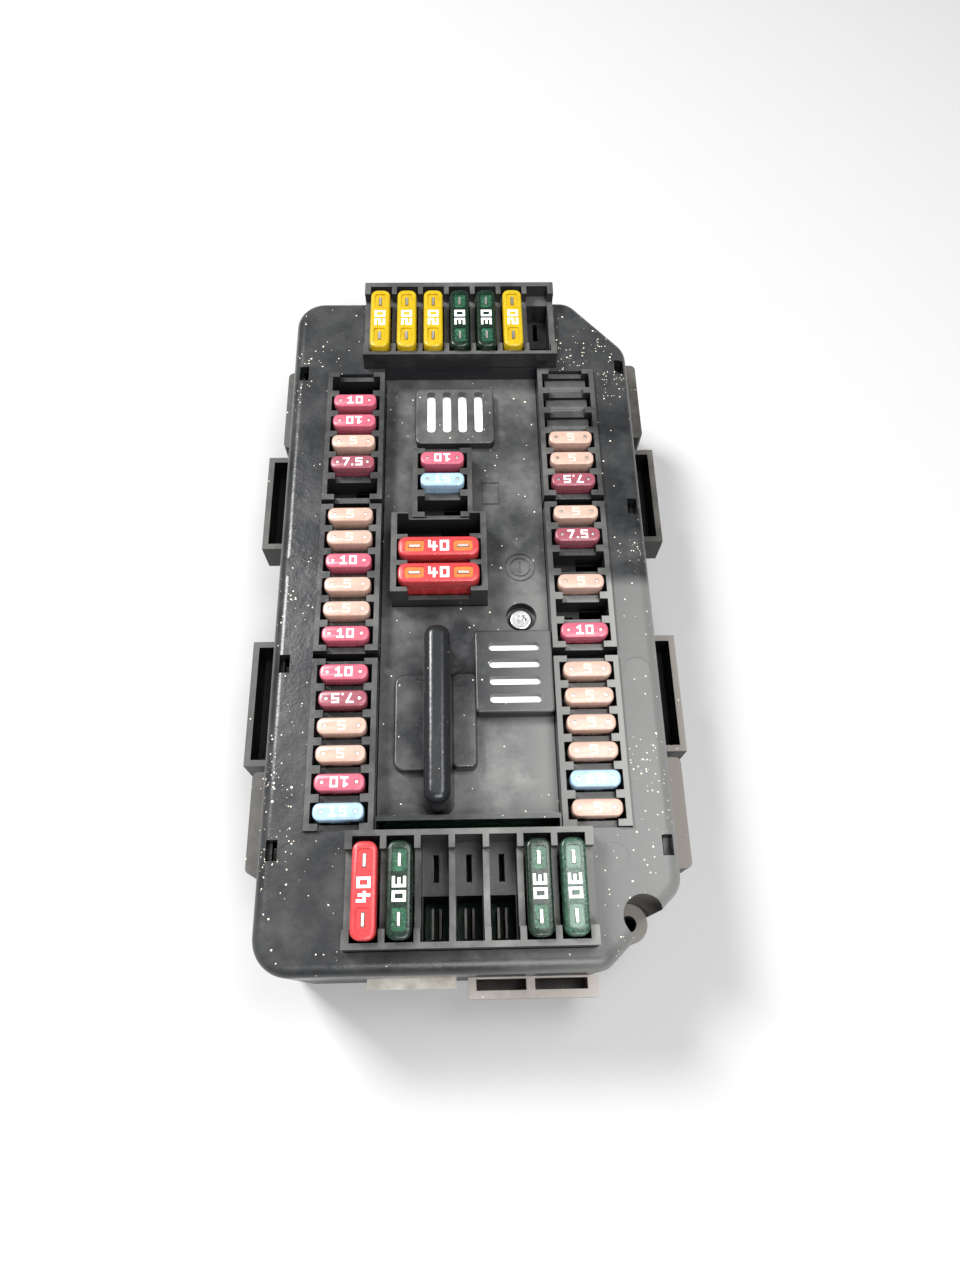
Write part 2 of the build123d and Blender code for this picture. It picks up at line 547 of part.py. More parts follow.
with BuildPart() as lower_housing:
    with BuildSketch():
        add(case_outline)
    extrude(amount=SPLIT_LEVEL)
    fillet(lower_housing.faces().sort_by(Axis.Z)[0].edges(), UNDERSIDE_EDGE_RADIUS)
    with BuildSketch(Plane.XY.offset(WALL)):
        add(inner_outline)
        with Locations(LUG_CENTER):
            Circle(LUG_WALL_RADIUS, mode=Mode.SUBTRACT)
    extrude(amount=SPLIT_LEVEL - WALL, mode=Mode.SUBTRACT)
    rod(LUG_CENTER, LUG_RADIUS, (0, LUG_TOP))
    rod(LUG_CENTER, LUG_CLEARANCE_RADIUS, (LUG_TOP, SPLIT_LEVEL + 1), mode=Mode.SUBTRACT)
    rod(LUG_CENTER, LUG_BORE_RADIUS, (-1, SPLIT_LEVEL), mode=Mode.SUBTRACT)
    # Side loops: narrow pockets that stand a little higher than the split
    for side, loops in ((-1, LEFT_LOOPS), (1, RIGHT_LOOPS)):
        clear = side * (CASE_HALF_WIDTH + GAP)
        wall = side * (CASE_HALF_WIDTH - 0.5)
        reach = side * LOOP_REACH
        bar = side * (LOOP_REACH - LOOP_BAR)
        for near, far in loops:
            for low, high in ((near, near + LOOP_BAR), (far - LOOP_BAR, far)):
                prism((*sorted((wall, clear + side)), low, high), (LOOP_BOTTOM, SPLIT_LEVEL - 0.2))
                prism((*sorted((clear, reach)), low, high), (LOOP_BOTTOM, LOOP_TOP))
            prism((*sorted((bar, reach)), near, far), (LOOP_BOTTOM, LOOP_TOP))
            prism((*sorted((wall, reach)), near, far), (LOOP_BOTTOM, LOOP_FLOOR))
    for x_low, x_high, y_low, y_high in SIDE_BLOCKS:
        prism((x_low, x_high, y_low, y_high), (BLOCK_BOTTOM, BLOCK_TOP), corner=1.4)
        wall_x = CASE_HALF_WIDTH - 0.5
        bridge = (-45.4, -wall_x) if x_low < 0 else (wall_x, 45.4)
        prism((bridge[0], bridge[1], y_low + 1.6, y_high - 1.6), (BLOCK_BOTTOM, SPLIT_LEVEL - 0.2))
    # Latch hooks that snap up behind the upper housing's windows
    for wx, wy in LATCH_WINDOWS:
        side = 1 if wx > 0 else -1
        foot = sorted((side * 40.2, side * (CASE_HALF_WIDTH - WALL + 0.2)))
        stem = sorted((side * 40.2, side * (CASE_HALF_WIDTH - WALL - 0.3)))
        prism((foot[0], foot[1], wy - 2.6, wy + 2.6), (10.0, SPLIT_LEVEL - 0.2))
        prism((stem[0], stem[1], wy - 1.3, wy + 1.3), (SPLIT_LEVEL - 0.2, DECK_LEVEL - 0.5))
    # Posts under the board and the screw's boss
    for post in POST_CENTERS:
        rod(post, 3.0, (WALL - 0.1, BOARD_BOTTOM))
    rod(SCREW_CENTER, 3.6, (WALL - 0.1, SCREW_BOSS_BOTTOM - GAP))
    rod(SCREW_CENTER, 1.5, (16.0, DECK_LEVEL), mode=Mode.SUBTRACT)
    # Windows for the connector headers and the notch for the supply tab
    for hx, hy in HEADER_CENTERS:
        prism((hx - HEADER_SIZE[0] / 2 - GAP, hx + HEADER_SIZE[0] / 2 + GAP,
               hy - HEADER_SIZE[1] / 2 - GAP, hy + HEADER_SIZE[1] / 2 + GAP),
              (-1, WALL + 1), mode=Mode.SUBTRACT)
    prism((TAB[0] - GAP, TAB[1] + GAP, CASE_NEAR - 1, CASE_NEAR + WALL + 1),
          (TAB_LEVELS[0] - GAP, SPLIT_LEVEL + 1), mode=Mode.SUBTRACT)

# ---- End latch frame ----------------------------------------------------------------------------
FRAME_BOUNDS = (-0.5, 28.0, -90.0, CASE_NEAR - 0.05)
FRAME_LEVELS = (12.0, 24.0)
FRAME_WINDOWS = ((1.3, 12.2), (14.1, 25.6))
with BuildPart() as end_latch_frame:
    prism(FRAME_BOUNDS, FRAME_LEVELS)
    for x_low, x_high in FRAME_WINDOWS:
        prism((x_low, x_high, FRAME_BOUNDS[2] + 1.7, FRAME_BOUNDS[3] - 0.4),
              (FRAME_LEVELS[0] + 2.0, FRAME_LEVELS[1] + 1), mode=Mode.SUBTRACT)

# ---- Circuit board ------------------------------------------------------------------------------
board_outline = outline(WALL + 3.4)
with BuildPart() as circuit_board:
    with BuildSketch(Plane.XY.offset(BOARD_BOTTOM)):
        add(board_outline)
        with Locations(LUG_CENTER):
            Circle(LUG_WALL_RADIUS + 1.0, mode=Mode.SUBTRACT)
        with Locations(SCREW_CENTER):
            Circle(4.2, mode=Mode.SUBTRACT)
    extrude(amount=BOARD_TOP - BOARD_BOTTOM)

# ---- Relays on the board ------------------------------------------------------------------------
RELAYS = ((-6.0, -34.0, 15.0, 19.0), (11.5, -28.0, 13.0, 17.0), (-2.0, 51.0, 17.0, 14.0))
with BuildPart() as board_relays:
    for rx, ry, rw, rl in RELAYS:
        prism((rx - rw / 2, rx + rw / 2, ry - rl / 2, ry + rl / 2), (TERMINAL_START, 32.6), corner=1.0)

# ---- White insulating sheets close under the vents -------------------------------------------------
with BuildPart() as vent_sheets:
    prism((FAR_VENT[0] + 1.4, FAR_VENT[1] - 1.4, FAR_VENT[2] + 1.4, FAR_VENT[3] - 0.9),
          (FAR_VENT_TOP - 3.3, FAR_VENT_TOP - 2.5))
    prism((NEAR_VENT[0] + 1.6, NEAR_VENT[1] - 1.6, NEAR_VENT[2] + 1.4, NEAR_VENT[3] - 1.4),
          (NEAR_VENT_TOP - 3.3, NEAR_VENT_TOP - 2.5))

# ---- Supply busbar ------------------------------------------------------------------------------
with BuildPart() as supply_busbar:
    prism((TAB[0], TAB[1], TAB_REACH, -81.8), TAB_LEVELS)
    prism((TAB[0] + 2, TAB[1] - 2, -83.0, -81.8), (TERMINAL_START, TAB_LEVELS[0] + 0.5))

# ---- Deck screw ---------------------------------------------------------------------------------
SCREW_SEAT = SCREW_RECESS_FLOOR + 0.05
SCREW_HEAD_HEIGHT = 1.6
with BuildPart() as deck_screw:
    rod(SCREW_CENTER, 2.8, (SCREW_SEAT, SCREW_SEAT + SCREW_HEAD_HEIGHT))
    fillet(deck_screw.edges().group_by(Axis.Z)[-1], 0.6)
    rod(SCREW_CENTER, 1.35, (SCREW_SEAT - 16.0, SCREW_SEAT + 0.1))
    # Six-lobed drive socket
    with BuildSketch(Plane.XY.offset(SCREW_SEAT + 0.4)):
        with Locations(SCREW_CENTER):
            Circle(1.1)
            with PolarLocations(1.1, 6):
                Circle(0.35)
    extrude(amount=2, mode=Mode.SUBTRACT)

# ---- Fuse terminals -----------------------------------------------------------------------------
with BuildPart() as fuse_terminals:
    groups = (
        (MINI, [(LEFT_X, y) for y in left_places], MINI_TOP, True),
        (MINI, [(RIGHT_X, y) for y in right_places[len(RIGHT_BLANKED):]], MINI_TOP, True),
        (MINI, mini_centers, MINI_TOP, True),
        (BLADE, blade_centers, CENTRE_ROW_TOP, True),
        (BLADE, top_centers, TOP_ROW_TOP, False),
        (BLADE, bottom_centers, BOTTOM_ROW_TOP, False),
    )
    for kind, centers, top, lies_along_x in groups:
        # Each blade sits between two leaves that stand on a foot
        width = kind["blade_width"] + 1.0
        gap = kind["blade_thick"] + 2 * LEAF_GAP
        foot_top = top - kind["total"] - 1.0
        slot_leaf_top = top - kind["body"] - 1.9
        turn = 0 if lies_along_x else 90
        clip_spots = [Location((x, y), turn) for x, y in centers]
        for side, leaf_top in ((-1, slot_leaf_top), (1, slot_leaf_top - WELL_LEAF_DROP)):
            blade_spot = (side * blade_shift(kind), 0)
            if not lies_along_x:
                blade_spot = (-blade_spot[0], 0)
            with BuildSketch(Plane.XY.offset(TERMINAL_START)):
                with Locations(clip_spots):
                    with Locations(blade_spot):
                        Rectangle(width, gap + 2 * LEAF)
            extrude(amount=foot_top - TERMINAL_START)
            with BuildSketch(Plane.XY.offset(foot_top)):
                with Locations(clip_spots):
                    with Locations(blade_spot):
                        Rectangle(width, gap + 2 * LEAF)
                        Rectangle(width, gap, mode=Mode.SUBTRACT)
            extrude(amount=leaf_top - foot_top)

# ---- Connector headers and their pins -------------------------------------------------------------
HEADER_FLOOR = 0.8
HEADER_WEB = 13.0
PIN_PITCH = (4.0, 6.0)
with BuildPart() as connector_headers:
    for hx, hy in HEADER_CENTERS:
        prism((hx - HEADER_SIZE[0] / 2, hx + HEADER_SIZE[0] / 2,
               hy - HEADER_SIZE[1] / 2, hy + HEADER_SIZE[1] / 2), (HEADER_FLOOR, BOARD_BOTTOM - 0.05))
        prism((hx - HEADER_SIZE[0] / 2 + 1.6, hx + HEADER_SIZE[0] / 2 - 1.6,
               hy - HEADER_SIZE[1] / 2 + 1.6, hy + HEADER_SIZE[1] / 2 - 1.6),
              (HEADER_FLOOR, HEADER_WEB), mode=Mode.SUBTRACT)
    with BuildSketch(Plane.XY.offset(HEADER_WEB - 1)):
        with Locations(HEADER_CENTERS):
            with GridLocations(PIN_PITCH[0], PIN_PITCH[1], 8, 2):
                Rectangle(1.3, 1.3)
    extrude(amount=8, mode=Mode.SUBTRACT)

with BuildPart() as connector_pins:
    with BuildSketch(Plane.XY.offset(HEADER_FLOOR + 3.5)):
        with Locations(HEADER_CENTERS):
            with GridLocations(PIN_PITCH[0], PIN_PITCH[1], 8, 2):
                Rectangle(1.0, 1.0)
    extrude(amount=BOARD_BOTTOM - HEADER_FLOOR - 3.55)

# ---- Write every piece ----------------------------------------------------------------------------
os.makedirs("parts", exist_ok=True)
mini_fuse = fuse(MINI)
blade_fuse = fuse(BLADE)
for fuse_name, fuse_kind, fuse_center, fuse_top, fuse_along_x in all_fuses():
    pattern_fuse = blade_fuse if fuse_kind is BLADE else mini_fuse
    save(placed_fuse(pattern_fuse, fuse_center, fuse_top, fuse_along_x), fuse_name)
save(left_fuse_rack, "left_fuse_rack")
save(right_fuse_rack, "right_fuse_rack")
save(centre_mini_rack, "centre_mini_rack")
save(centre_blade_rack, "centre_blade_rack")
save(top_blade_rack, "top_blade_rack")
save(bottom_blade_rack, "bottom_blade_rack")
save(upper_housing.part, "upper_housing")
save(lower_housing.part, "lower_housing")
save(end_latch_frame.part, "end_latch_frame")
save(circuit_board.part, "circuit_board")
save(board_relays.part, "board_relays")
save(vent_sheets.part, "vent_sheets")
save(supply_busbar.part, "supply_busbar")
save(deck_screw.part, "deck_screw")
save(fuse_terminals.part, "fuse_terminals")
save(connector_headers.part, "connector_headers")
save(connector_pins.part, "connector_pins")
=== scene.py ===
"""Looks of the fuse box panel: materials, detailed fuses, floor, light and camera, in metres."""
import json
import math
from collections import namedtuple

import bmesh
import bpy
from mathutils import Euler, Matrix, Vector


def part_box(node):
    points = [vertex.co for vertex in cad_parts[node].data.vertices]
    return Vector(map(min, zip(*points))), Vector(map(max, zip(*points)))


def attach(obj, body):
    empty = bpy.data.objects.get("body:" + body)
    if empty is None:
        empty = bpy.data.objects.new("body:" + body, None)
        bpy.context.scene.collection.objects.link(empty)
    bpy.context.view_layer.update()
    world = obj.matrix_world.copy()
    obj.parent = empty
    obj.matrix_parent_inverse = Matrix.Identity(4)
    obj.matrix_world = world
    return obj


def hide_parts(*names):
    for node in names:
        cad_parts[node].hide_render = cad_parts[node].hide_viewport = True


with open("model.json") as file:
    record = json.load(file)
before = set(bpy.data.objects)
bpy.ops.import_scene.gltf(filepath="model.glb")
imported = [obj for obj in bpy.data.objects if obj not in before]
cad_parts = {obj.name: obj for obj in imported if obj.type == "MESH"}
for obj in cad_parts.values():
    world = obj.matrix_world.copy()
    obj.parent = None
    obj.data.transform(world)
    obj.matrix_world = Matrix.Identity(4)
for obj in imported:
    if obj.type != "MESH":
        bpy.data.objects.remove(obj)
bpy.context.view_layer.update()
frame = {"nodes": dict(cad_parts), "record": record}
nodes = frame["nodes"]

MM = 0.001
BLACK = (0, 0, 0)
WHITE = (1, 1, 1)


# ---- Camera ----------------------------------------------------------------------------------
# The place, the lens and the sensor are in millimetres, and the turn is in radians
CAMERA_PLACE = (-1.36, -91.9, 228.5)
CAMERA_TURN = (-0.3987, 0.0233, 0.0132)
CAMERA_LENS = 24.63
SENSOR_WIDTH = 36.0
# These two are in metres
NEAREST_SEEN = 0.01
FARTHEST_SEEN = 20.0

camera_data = bpy.data.cameras.new("camera")
camera_data.lens = CAMERA_LENS
camera_data.sensor_width = SENSOR_WIDTH
camera_data.clip_start = NEAREST_SEEN
camera_data.clip_end = FARTHEST_SEEN
camera = bpy.data.objects.new("camera", camera_data)
bpy.context.scene.collection.objects.link(camera)
camera.matrix_world = (
    Matrix.Translation(Vector(CAMERA_PLACE) * MM)
    @ Euler(CAMERA_TURN, "XYZ").to_matrix().transposed().to_4x4()
)
bpy.context.scene.camera = camera
bpy.context.scene.view_settings.view_transform = "Standard"


# ---- Material helpers ------------------------------------------------------------------------
class Recipe:
    """A material's node tree with short calls to add nodes to it."""

    def __init__(self, name):
        self.material = bpy.data.materials.new(name)
        self.material.use_nodes = True
        self.tree = self.material.node_tree
        self.shader = self.tree.nodes["Principled BSDF"]
        self.place = self.node("ShaderNodeTexCoord").outputs["Object"]

    def node(self, kind, **settings):
        made = self.tree.nodes.new(kind)
        for key, value in settings.items():
            setattr(made, key, value)
        return made

    def link(self, output, target):
        self.tree.links.new(output, target)

    def feed(self, value, target):
        """Links an output to a socket, or sets a colour or a number on it."""
        if isinstance(value, bpy.types.NodeSocket):
            self.link(value, target)
        elif isinstance(value, tuple):
            target.default_value = (*value, 1)
        else:
            target.default_value = value

    def axes(self, vector):
        """The X, Y and Z of a vector output."""
        split = self.node("ShaderNodeSeparateXYZ")
        self.link(vector, split.inputs[0])
        return split.outputs

    def noise(self, scale, detail=4.0, roughness=0.55):
        made = self.node("ShaderNodeTexNoise")
        self.link(self.place, made.inputs["Vector"])
        made.inputs["Scale"].default_value = scale
        made.inputs["Detail"].default_value = detail
        made.inputs["Roughness"].default_value = roughness
        return made.outputs["Fac"]

    def ramp(self, value, low, high, start=BLACK, end=WHITE):
        """Goes from one colour to another while a value goes from low to high, within 0 to 1."""
        made = self.node("ShaderNodeValToRGB")
        self.link(value, made.inputs["Fac"])
        first, last = made.color_ramp.elements
        first.position, last.position = low, high
        first.color, last.color = (*start, 1), (*end, 1)
        return made.outputs["Color"]

    def spread(self, value, low, high):
        """A number that goes from low to high while a value goes from 0 to 1."""
        made = self.node("ShaderNodeMapRange")
        self.link(value, made.inputs["Value"])
        made.inputs["To Min"].default_value = low
        made.inputs["To Max"].default_value = high
        return made.outputs["Result"]

    def mix(self, factor, first, second):
        made = self.node("ShaderNodeMix", data_type="RGBA")
        self.feed(factor, made.inputs["Factor"])
        self.feed(first, made.inputs["A"])
        self.feed(second, made.inputs["B"])
        return made.outputs["Result"]

    def math(self, operation, *values):
        made = self.node("ShaderNodeMath", operation=operation)
        for value, target in zip(values, made.inputs):
            self.feed(value, target)
        return made.outputs[0]

    def bump(self, height, strength, distance):
        made = self.node("ShaderNodeBump")
        made.inputs["Strength"].default_value = strength
        made.inputs["Distance"].default_value = distance
        self.link(height, made.inputs["Height"])
        self.link(made.outputs["Normal"], self.shader.inputs["Normal"])

    def set(self, **values):
        for key, value in values.items():
            self.feed(value, self.shader.inputs[key.replace("_", " ")])


def grey(level):
    return (level, level, level)


# ---- Black plastic and its dust --------------------------------------------------------------
RIM_LEVEL = 41.6 * MM
RIDGE_CLEAN = 43.0 * MM
CLEAN_FADE = 0.4 * MM
CLEAN_LEFT = 0.02
# How far up a face looks, as its normal's Z, where dust begins to lie and where it lies in full,
# then the same for the painted sheen of the near right quarter
DUST_LIES = (0.35, 0.95)
SHEEN_CLINGS = (0.05, 0.45)
# Between which noise values the blotches, the streaks and the patches' gaps go from none to full
BLOTCH_EDGES = (0.40, 0.60)
STREAK_EDGES = (0.2, 0.8)
PATCH_EDGES = (0.42, 0.60)
BROAD_SHARE = 0.5
STREAK_SHARE = 0.6
# Painted sheen: the film gets thicker, and so lighter, towards the near right corner, standing in
# for glare there: its slant, its full reach, its thinnest share
SHEEN_LEAN_X = 0.7
SHEEN_LEAN_Y = -0.4
SHEEN_LEAN_REACH = 50.0 * MM
FILM_THINNEST = 0.42
# Painted sheen: the near right quarter has a film of its own, which is full this far to the right
# of the middle
SHEEN_QUARTER_REACH = 40.0 * MM
# Loose grains gather at these places on the deck: x, y and reach in millimetres
DUST_PATCHES = ((-40.0, 72.0, 9.0), (-43.5, 57.0, 7.0), (-42.5, -2.0, 9.0), (-43.0, -34.0, 9.0),
                (-42.0, -46.0, 11.0), (-42.5, -60.0, 10.0), (30.0, 67.0, 9.0), (36.0, 74.0, 8.0),
                (41.0, 60.0, 7.0), (43.0, 8.0, 8.0), (41.5, -44.0, 9.0), (40.0, -58.0, 9.0),
                (34.0, -70.0, 8.0), (31.5, -80.0, 7.0))
PATCH_CORE = 0.2
STRAY_SHARE = 0.02
# Cells per metre, and a grain's greatest radius as a share of its cell
GRAIN_SIZES = ((1000.0, 0.28), (1900.0, 0.40))
GRAIN_COLOUR = (0.80, 0.72, 0.58)
FILM_ROUGHENS = 0.3
PLASTIC_SPECULAR = 0.38
GRAIN_HEIGHT = 0.12
# Painted shade: the near black that depths and pockets are painted, and the margin round the
# pockets
PAINTED_SHADE_BLACK = grey(0.003)
POCKET_PAINTED_SHADE = grey(0.0015)
POCKET_MARGIN = 0.45 * MM


def specks(recipe, cell_scale, radius, share):
    """Scattered grains: 1 inside a grain and 0 elsewhere. share is how many cells hold one."""
    cells = recipe.node("ShaderNodeTexVoronoi", feature="F1")
    recipe.link(recipe.place, cells.inputs["Vector"])
    cells.inputs["Scale"].default_value = cell_scale
    split = recipe.node("ShaderNodeSeparateColor")
    recipe.link(cells.outputs["Color"], split.inputs["Color"])
    size = recipe.math("MULTIPLY", split.outputs["Green"], radius)
    inside = recipe.math("LESS_THAN", cells.outputs["Distance"], size)
    chosen = recipe.math("LESS_THAN", split.outputs["Red"], share)
    return recipe.math("MULTIPLY", inside, chosen)


def pocket_mask(recipe, boxes, below):
    """A mask for painted shade: 1 inside any of the boxes and under a level, 0 elsewhere."""
    x, y, z = recipe.axes(recipe.place)
    total = None
    for low, high in boxes:
        inside = None
        for value, start, end in ((x, low[0], high[0]), (y, low[1], high[1])):
            reach = (end - start) / 2 + POCKET_MARGIN
            near = recipe.math("COMPARE", value, (start + end) / 2, reach)
            inside = near if inside is None else recipe.math("MULTIPLY", inside, near)
        total = inside if total is None else recipe.math("MAXIMUM", total, inside)
    return recipe.math("MULTIPLY", total, recipe.math("LESS_THAN", z, below))


def dust_film(recipe, height_turned, upward, clean_above):
    """How thick the film of dust and painted sheen is, from 0 to 1. Above clean_above there is
    almost none.
    """
    x, y, z = recipe.axes(recipe.place)
    broad = recipe.ramp(recipe.noise(19.0, detail=5.0, roughness=0.6), *BLOTCH_EDGES)
    broad = recipe.math("MULTIPLY", broad, BROAD_SHARE)
    cloud = recipe.ramp(recipe.noise(70.0, detail=6.0, roughness=0.66), *BLOTCH_EDGES)
    cloud = recipe.math("MULTIPLY_ADD", cloud, 1.0 - BROAD_SHARE, broad)
    streak = recipe.ramp(recipe.noise(260.0, detail=5.0, roughness=0.7), *STREAK_EDGES)
    streak = recipe.math("MULTIPLY_ADD", streak, STREAK_SHARE, 1.0 - STREAK_SHARE)
    film = recipe.math("MULTIPLY", cloud, streak)
    film = recipe.math("MULTIPLY", film, upward)
    # Painted sheen: the film is made thicker, and so lighter, towards the near right, and the near
    # right quarter gets a film of its own on steep faces too
    sheen_lean = recipe.math("MULTIPLY_ADD", x, SHEEN_LEAN_X, recipe.math("MULTIPLY", y, SHEEN_LEAN_Y))
    film = recipe.math("MULTIPLY", film, recipe.ramp(sheen_lean, 0.0, SHEEN_LEAN_REACH, grey(FILM_THINNEST)))
    near_half = recipe.ramp(y, 0.0, 0.0, WHITE, BLACK)
    near_right_sheen = recipe.math("MULTIPLY", near_half, recipe.ramp(x, 0.0, SHEEN_QUARTER_REACH))
    sheen_clinging = recipe.ramp(height_turned, *SHEEN_CLINGS)
    film = recipe.math("MAXIMUM", film, recipe.math("MULTIPLY", near_right_sheen, sheen_clinging))
    if clean_above:
        clean = recipe.ramp(z, clean_above - CLEAN_FADE, clean_above, WHITE, grey(CLEAN_LEFT))
        film = recipe.math("MULTIPLY", film, clean)
    return film


def scatter_grains(recipe, base, upward, dust_share):
    """A base colour with loose grains on it, most of them in the patches."""
    zone = None
    for center_x, center_y, reach in DUST_PATCHES:
        away = recipe.node("ShaderNodeVectorMath", operation="DISTANCE")
        recipe.link(recipe.place, away.inputs[0])
        away.inputs[1].default_value = (center_x * MM, center_y * MM, RIM_LEVEL)
        near = recipe.ramp(away.outputs["Value"], PATCH_CORE * reach * MM, reach * MM,
                           WHITE, BLACK)
        zone = near if zone is None else recipe.math("MAXIMUM", zone, near)
    gaps = recipe.ramp(recipe.noise(160.0, detail=3.0), *PATCH_EDGES)
    zone = recipe.math("MULTIPLY", zone, gaps)
    share = recipe.math("MULTIPLY_ADD", zone, dust_share, STRAY_SHARE)
    for cell_scale, radius in GRAIN_SIZES:
        grains = recipe.math("MULTIPLY", specks(recipe, cell_scale, radius, share), upward)
        base = recipe.mix(grains, base, GRAIN_COLOUR)
    return base


def plastic(name, dark, dust_and_sheen_colour, roughness, dust_share=0.0, clean_above=None, shade=None,
            pockets=None, deepest=0.10):
    """Moulded black plastic with a fine grain, a film of dust in patches, a painted sheen towards
    the near right and loose grains.

    shade is the two levels between which it goes from near black, as painted shade, to its own
    colour, and deepest
    is the share of its own colour that is left at the lower one. pockets is boxes and a level:
    it is painted near black inside the boxes and under the level, as painted shade.
    """
    recipe = Recipe(name)
    facing = recipe.node("ShaderNodeNewGeometry")
    height_turned = recipe.axes(facing.outputs["Normal"])[2]
    upward = recipe.ramp(height_turned, *DUST_LIES)
    film = dust_film(recipe, height_turned, upward, clean_above)
    base = recipe.mix(film, dark, dust_and_sheen_colour)
    if dust_share:
        base = scatter_grains(recipe, base, upward, dust_share)
    if shade:
        level = recipe.axes(recipe.place)[2]
        base = recipe.mix(recipe.ramp(level, *shade, grey(deepest)), PAINTED_SHADE_BLACK, base)
    if pockets:
        base = recipe.mix(pocket_mask(recipe, *pockets), base, POCKET_PAINTED_SHADE)
    rough = recipe.spread(film, roughness, min(1.0, roughness + FILM_ROUGHENS))
    recipe.set(Base_Color=base, Roughness=rough, Specular_IOR_Level=PLASTIC_SPECULAR)
    # A fine grain over the slow waves that thick mouldings sink into
    waves = recipe.noise(95.0, detail=4.0, roughness=0.6)
    grain = recipe.noise(1400.0, detail=3.0, roughness=0.6)
    grain = recipe.math("MULTIPLY_ADD", grain, GRAIN_HEIGHT, waves)
    recipe.bump(grain, strength=0.35, distance=0.6 * MM)
    return recipe.material


# ---- Other materials -------------------------------------------------------------------------
CLEAR_BELOW = 0.55
PLASTIC_ROUGHNESS = (0.16, 0.4)
PLASTIC_IOR = 1.5
# Shares of a fuse's own colour: where it is deep, where it has a painted glint and where it has
# painted shadow
DEEP_SHARE = 0.72
PAINTED_GLINT_SHARE = 2.6
PAINTED_GLINT_LIFT = 0.035
PAINTED_SHADOW_SHARE = 0.3
METAL_ROUGHENS = 0.2
PLAIN_ROUGHENS = 0.08
SMOOTHEST = 0.05


def scaled(color, share, lift=0.0):
    """A colour made darker or brighter by a share, and lifted by an even step."""
    return tuple(min(1.0, share * part + lift) for part in color)


def tinted_plastic(name, color, milky):
    """Coloured see-through fuse plastic. milky is how little light passes."""
    recipe = Recipe(name)
    cloud = recipe.ramp(recipe.noise(420.0, detail=3.0), 0.3, 0.8)
    base = recipe.mix(cloud, color, scaled(color, DEEP_SHARE))
    if milky < CLEAR_BELOW:
        # Painted glints and painted shadow specks, standing in for light that clear plastic breaks
        # up inside
        glint = recipe.ramp(recipe.noise(1500.0, detail=4.0, roughness=0.7), 0.50, 0.72)
        base = recipe.mix(glint, base, scaled(color, PAINTED_GLINT_SHARE, PAINTED_GLINT_LIFT))
        shadow = recipe.ramp(recipe.noise(700.0, detail=4.0, roughness=0.7), 0.52, 0.66)
        base = recipe.mix(shadow, base, scaled(color, PAINTED_SHADOW_SHARE))
    rough = recipe.spread(recipe.noise(900.0, detail=4.0), *PLASTIC_ROUGHNESS)
    recipe.set(Base_Color=base, Roughness=rough, Transmission_Weight=1.0 - milky, IOR=PLASTIC_IOR)
    recipe.bump(recipe.noise(700.0, detail=2.0), strength=0.08, distance=0.2 * MM)
    return recipe.material


def metal(name, color, roughness, stain, metallic=1.0, shade=None):
    """Plated metal with a fine bump and faint stains.

    shade is the two levels between which it goes from near black, as painted shade, to its own
    colour.
    """
    recipe = Recipe(name)
    cloud = recipe.ramp(recipe.noise(160.0, detail=5.0), 0.35, 0.75)
    base = recipe.mix(cloud, color, stain)
    if shade:
        level = recipe.axes(recipe.place)[2]
        base = recipe.mix(recipe.ramp(level, *shade), PAINTED_SHADE_BLACK, base)
    worn = recipe.noise(500.0, detail=4.0)
    rough = recipe.spread(worn, roughness, roughness + METAL_ROUGHENS)
    recipe.set(Base_Color=base, Metallic=metallic, Roughness=rough)
    recipe.bump(recipe.noise(2200.0, detail=2.0), strength=0.1, distance=0.1 * MM)
    return recipe.material


def plain(name, color, roughness, variation=0.85):
    """A matt solid colour with slight variation and a soft grain."""
    recipe = Recipe(name)
    cloud = recipe.ramp(recipe.noise(90.0, detail=5.0), 0.3, 0.75)
    base = recipe.mix(cloud, color, scaled(color, variation))
    low = max(SMOOTHEST, roughness - PLAIN_ROUGHENS)
    rough = recipe.spread(recipe.noise(600.0, detail=3.0), low, roughness + PLAIN_ROUGHENS)
    recipe.set(Base_Color=base, Roughness=rough)
    recipe.bump(recipe.noise(1200.0, detail=2.0), strength=0.06, distance=0.2 * MM)
    return recipe.material


# ---- The materials of the CAD nodes ----------------------------------------------------------
# Painted shade: each part is darkest at the first level and has its own colour from the second
# level up
RACK_SHADE = (35.0 * MM, 41.5 * MM)
LATCH_SHADE = (12.0 * MM, 23.8 * MM)
TERMINAL_SHADE = (31.0 * MM, 35.5 * MM)
SCREW_SHADE = (34.9 * MM, 35.2 * MM)
LOOP_LIP = 1.1 * MM
SHEET_PAINTED_GLOW = 0.8

loop_boxes = [opening["box_m"] for opening in frame["record"]["physics"]["openings"]
              if opening["name"].endswith("_loop")]
loop_top = max(high[2] for low, high in loop_boxes) - LOOP_LIP

deck_plastic = plastic("deck_plastic", (0.012, 0.013, 0.015), (0.31, 0.31, 0.30), 0.27, 0.42,
                       clean_above=RIDGE_CLEAN)
# Painted shade: the pockets of the loops are painted near black below their lips
tub_plastic = plastic("tub_plastic", (0.030, 0.029, 0.028), (0.24, 0.22, 0.20), 0.46, 0.3,
                      pockets=(loop_boxes, loop_top))
rack_plastic = plastic("rack_plastic", (0.020, 0.020, 0.021), (0.26, 0.26, 0.25), 0.30,
                       shade=RACK_SHADE)
# A light plastic, with its colours raised further as painted light so that the floors of its deep
# pockets, where little light falls, come out lit
latch_plastic = plastic("latch_plastic", (0.24, 0.215, 0.20), (0.62, 0.57, 0.53), 0.5, 0.1,
                        shade=LATCH_SHADE, deepest=0.8)
white_sheet = plain("white_sheet", (0.95, 0.94, 0.92), 0.5, 0.97)
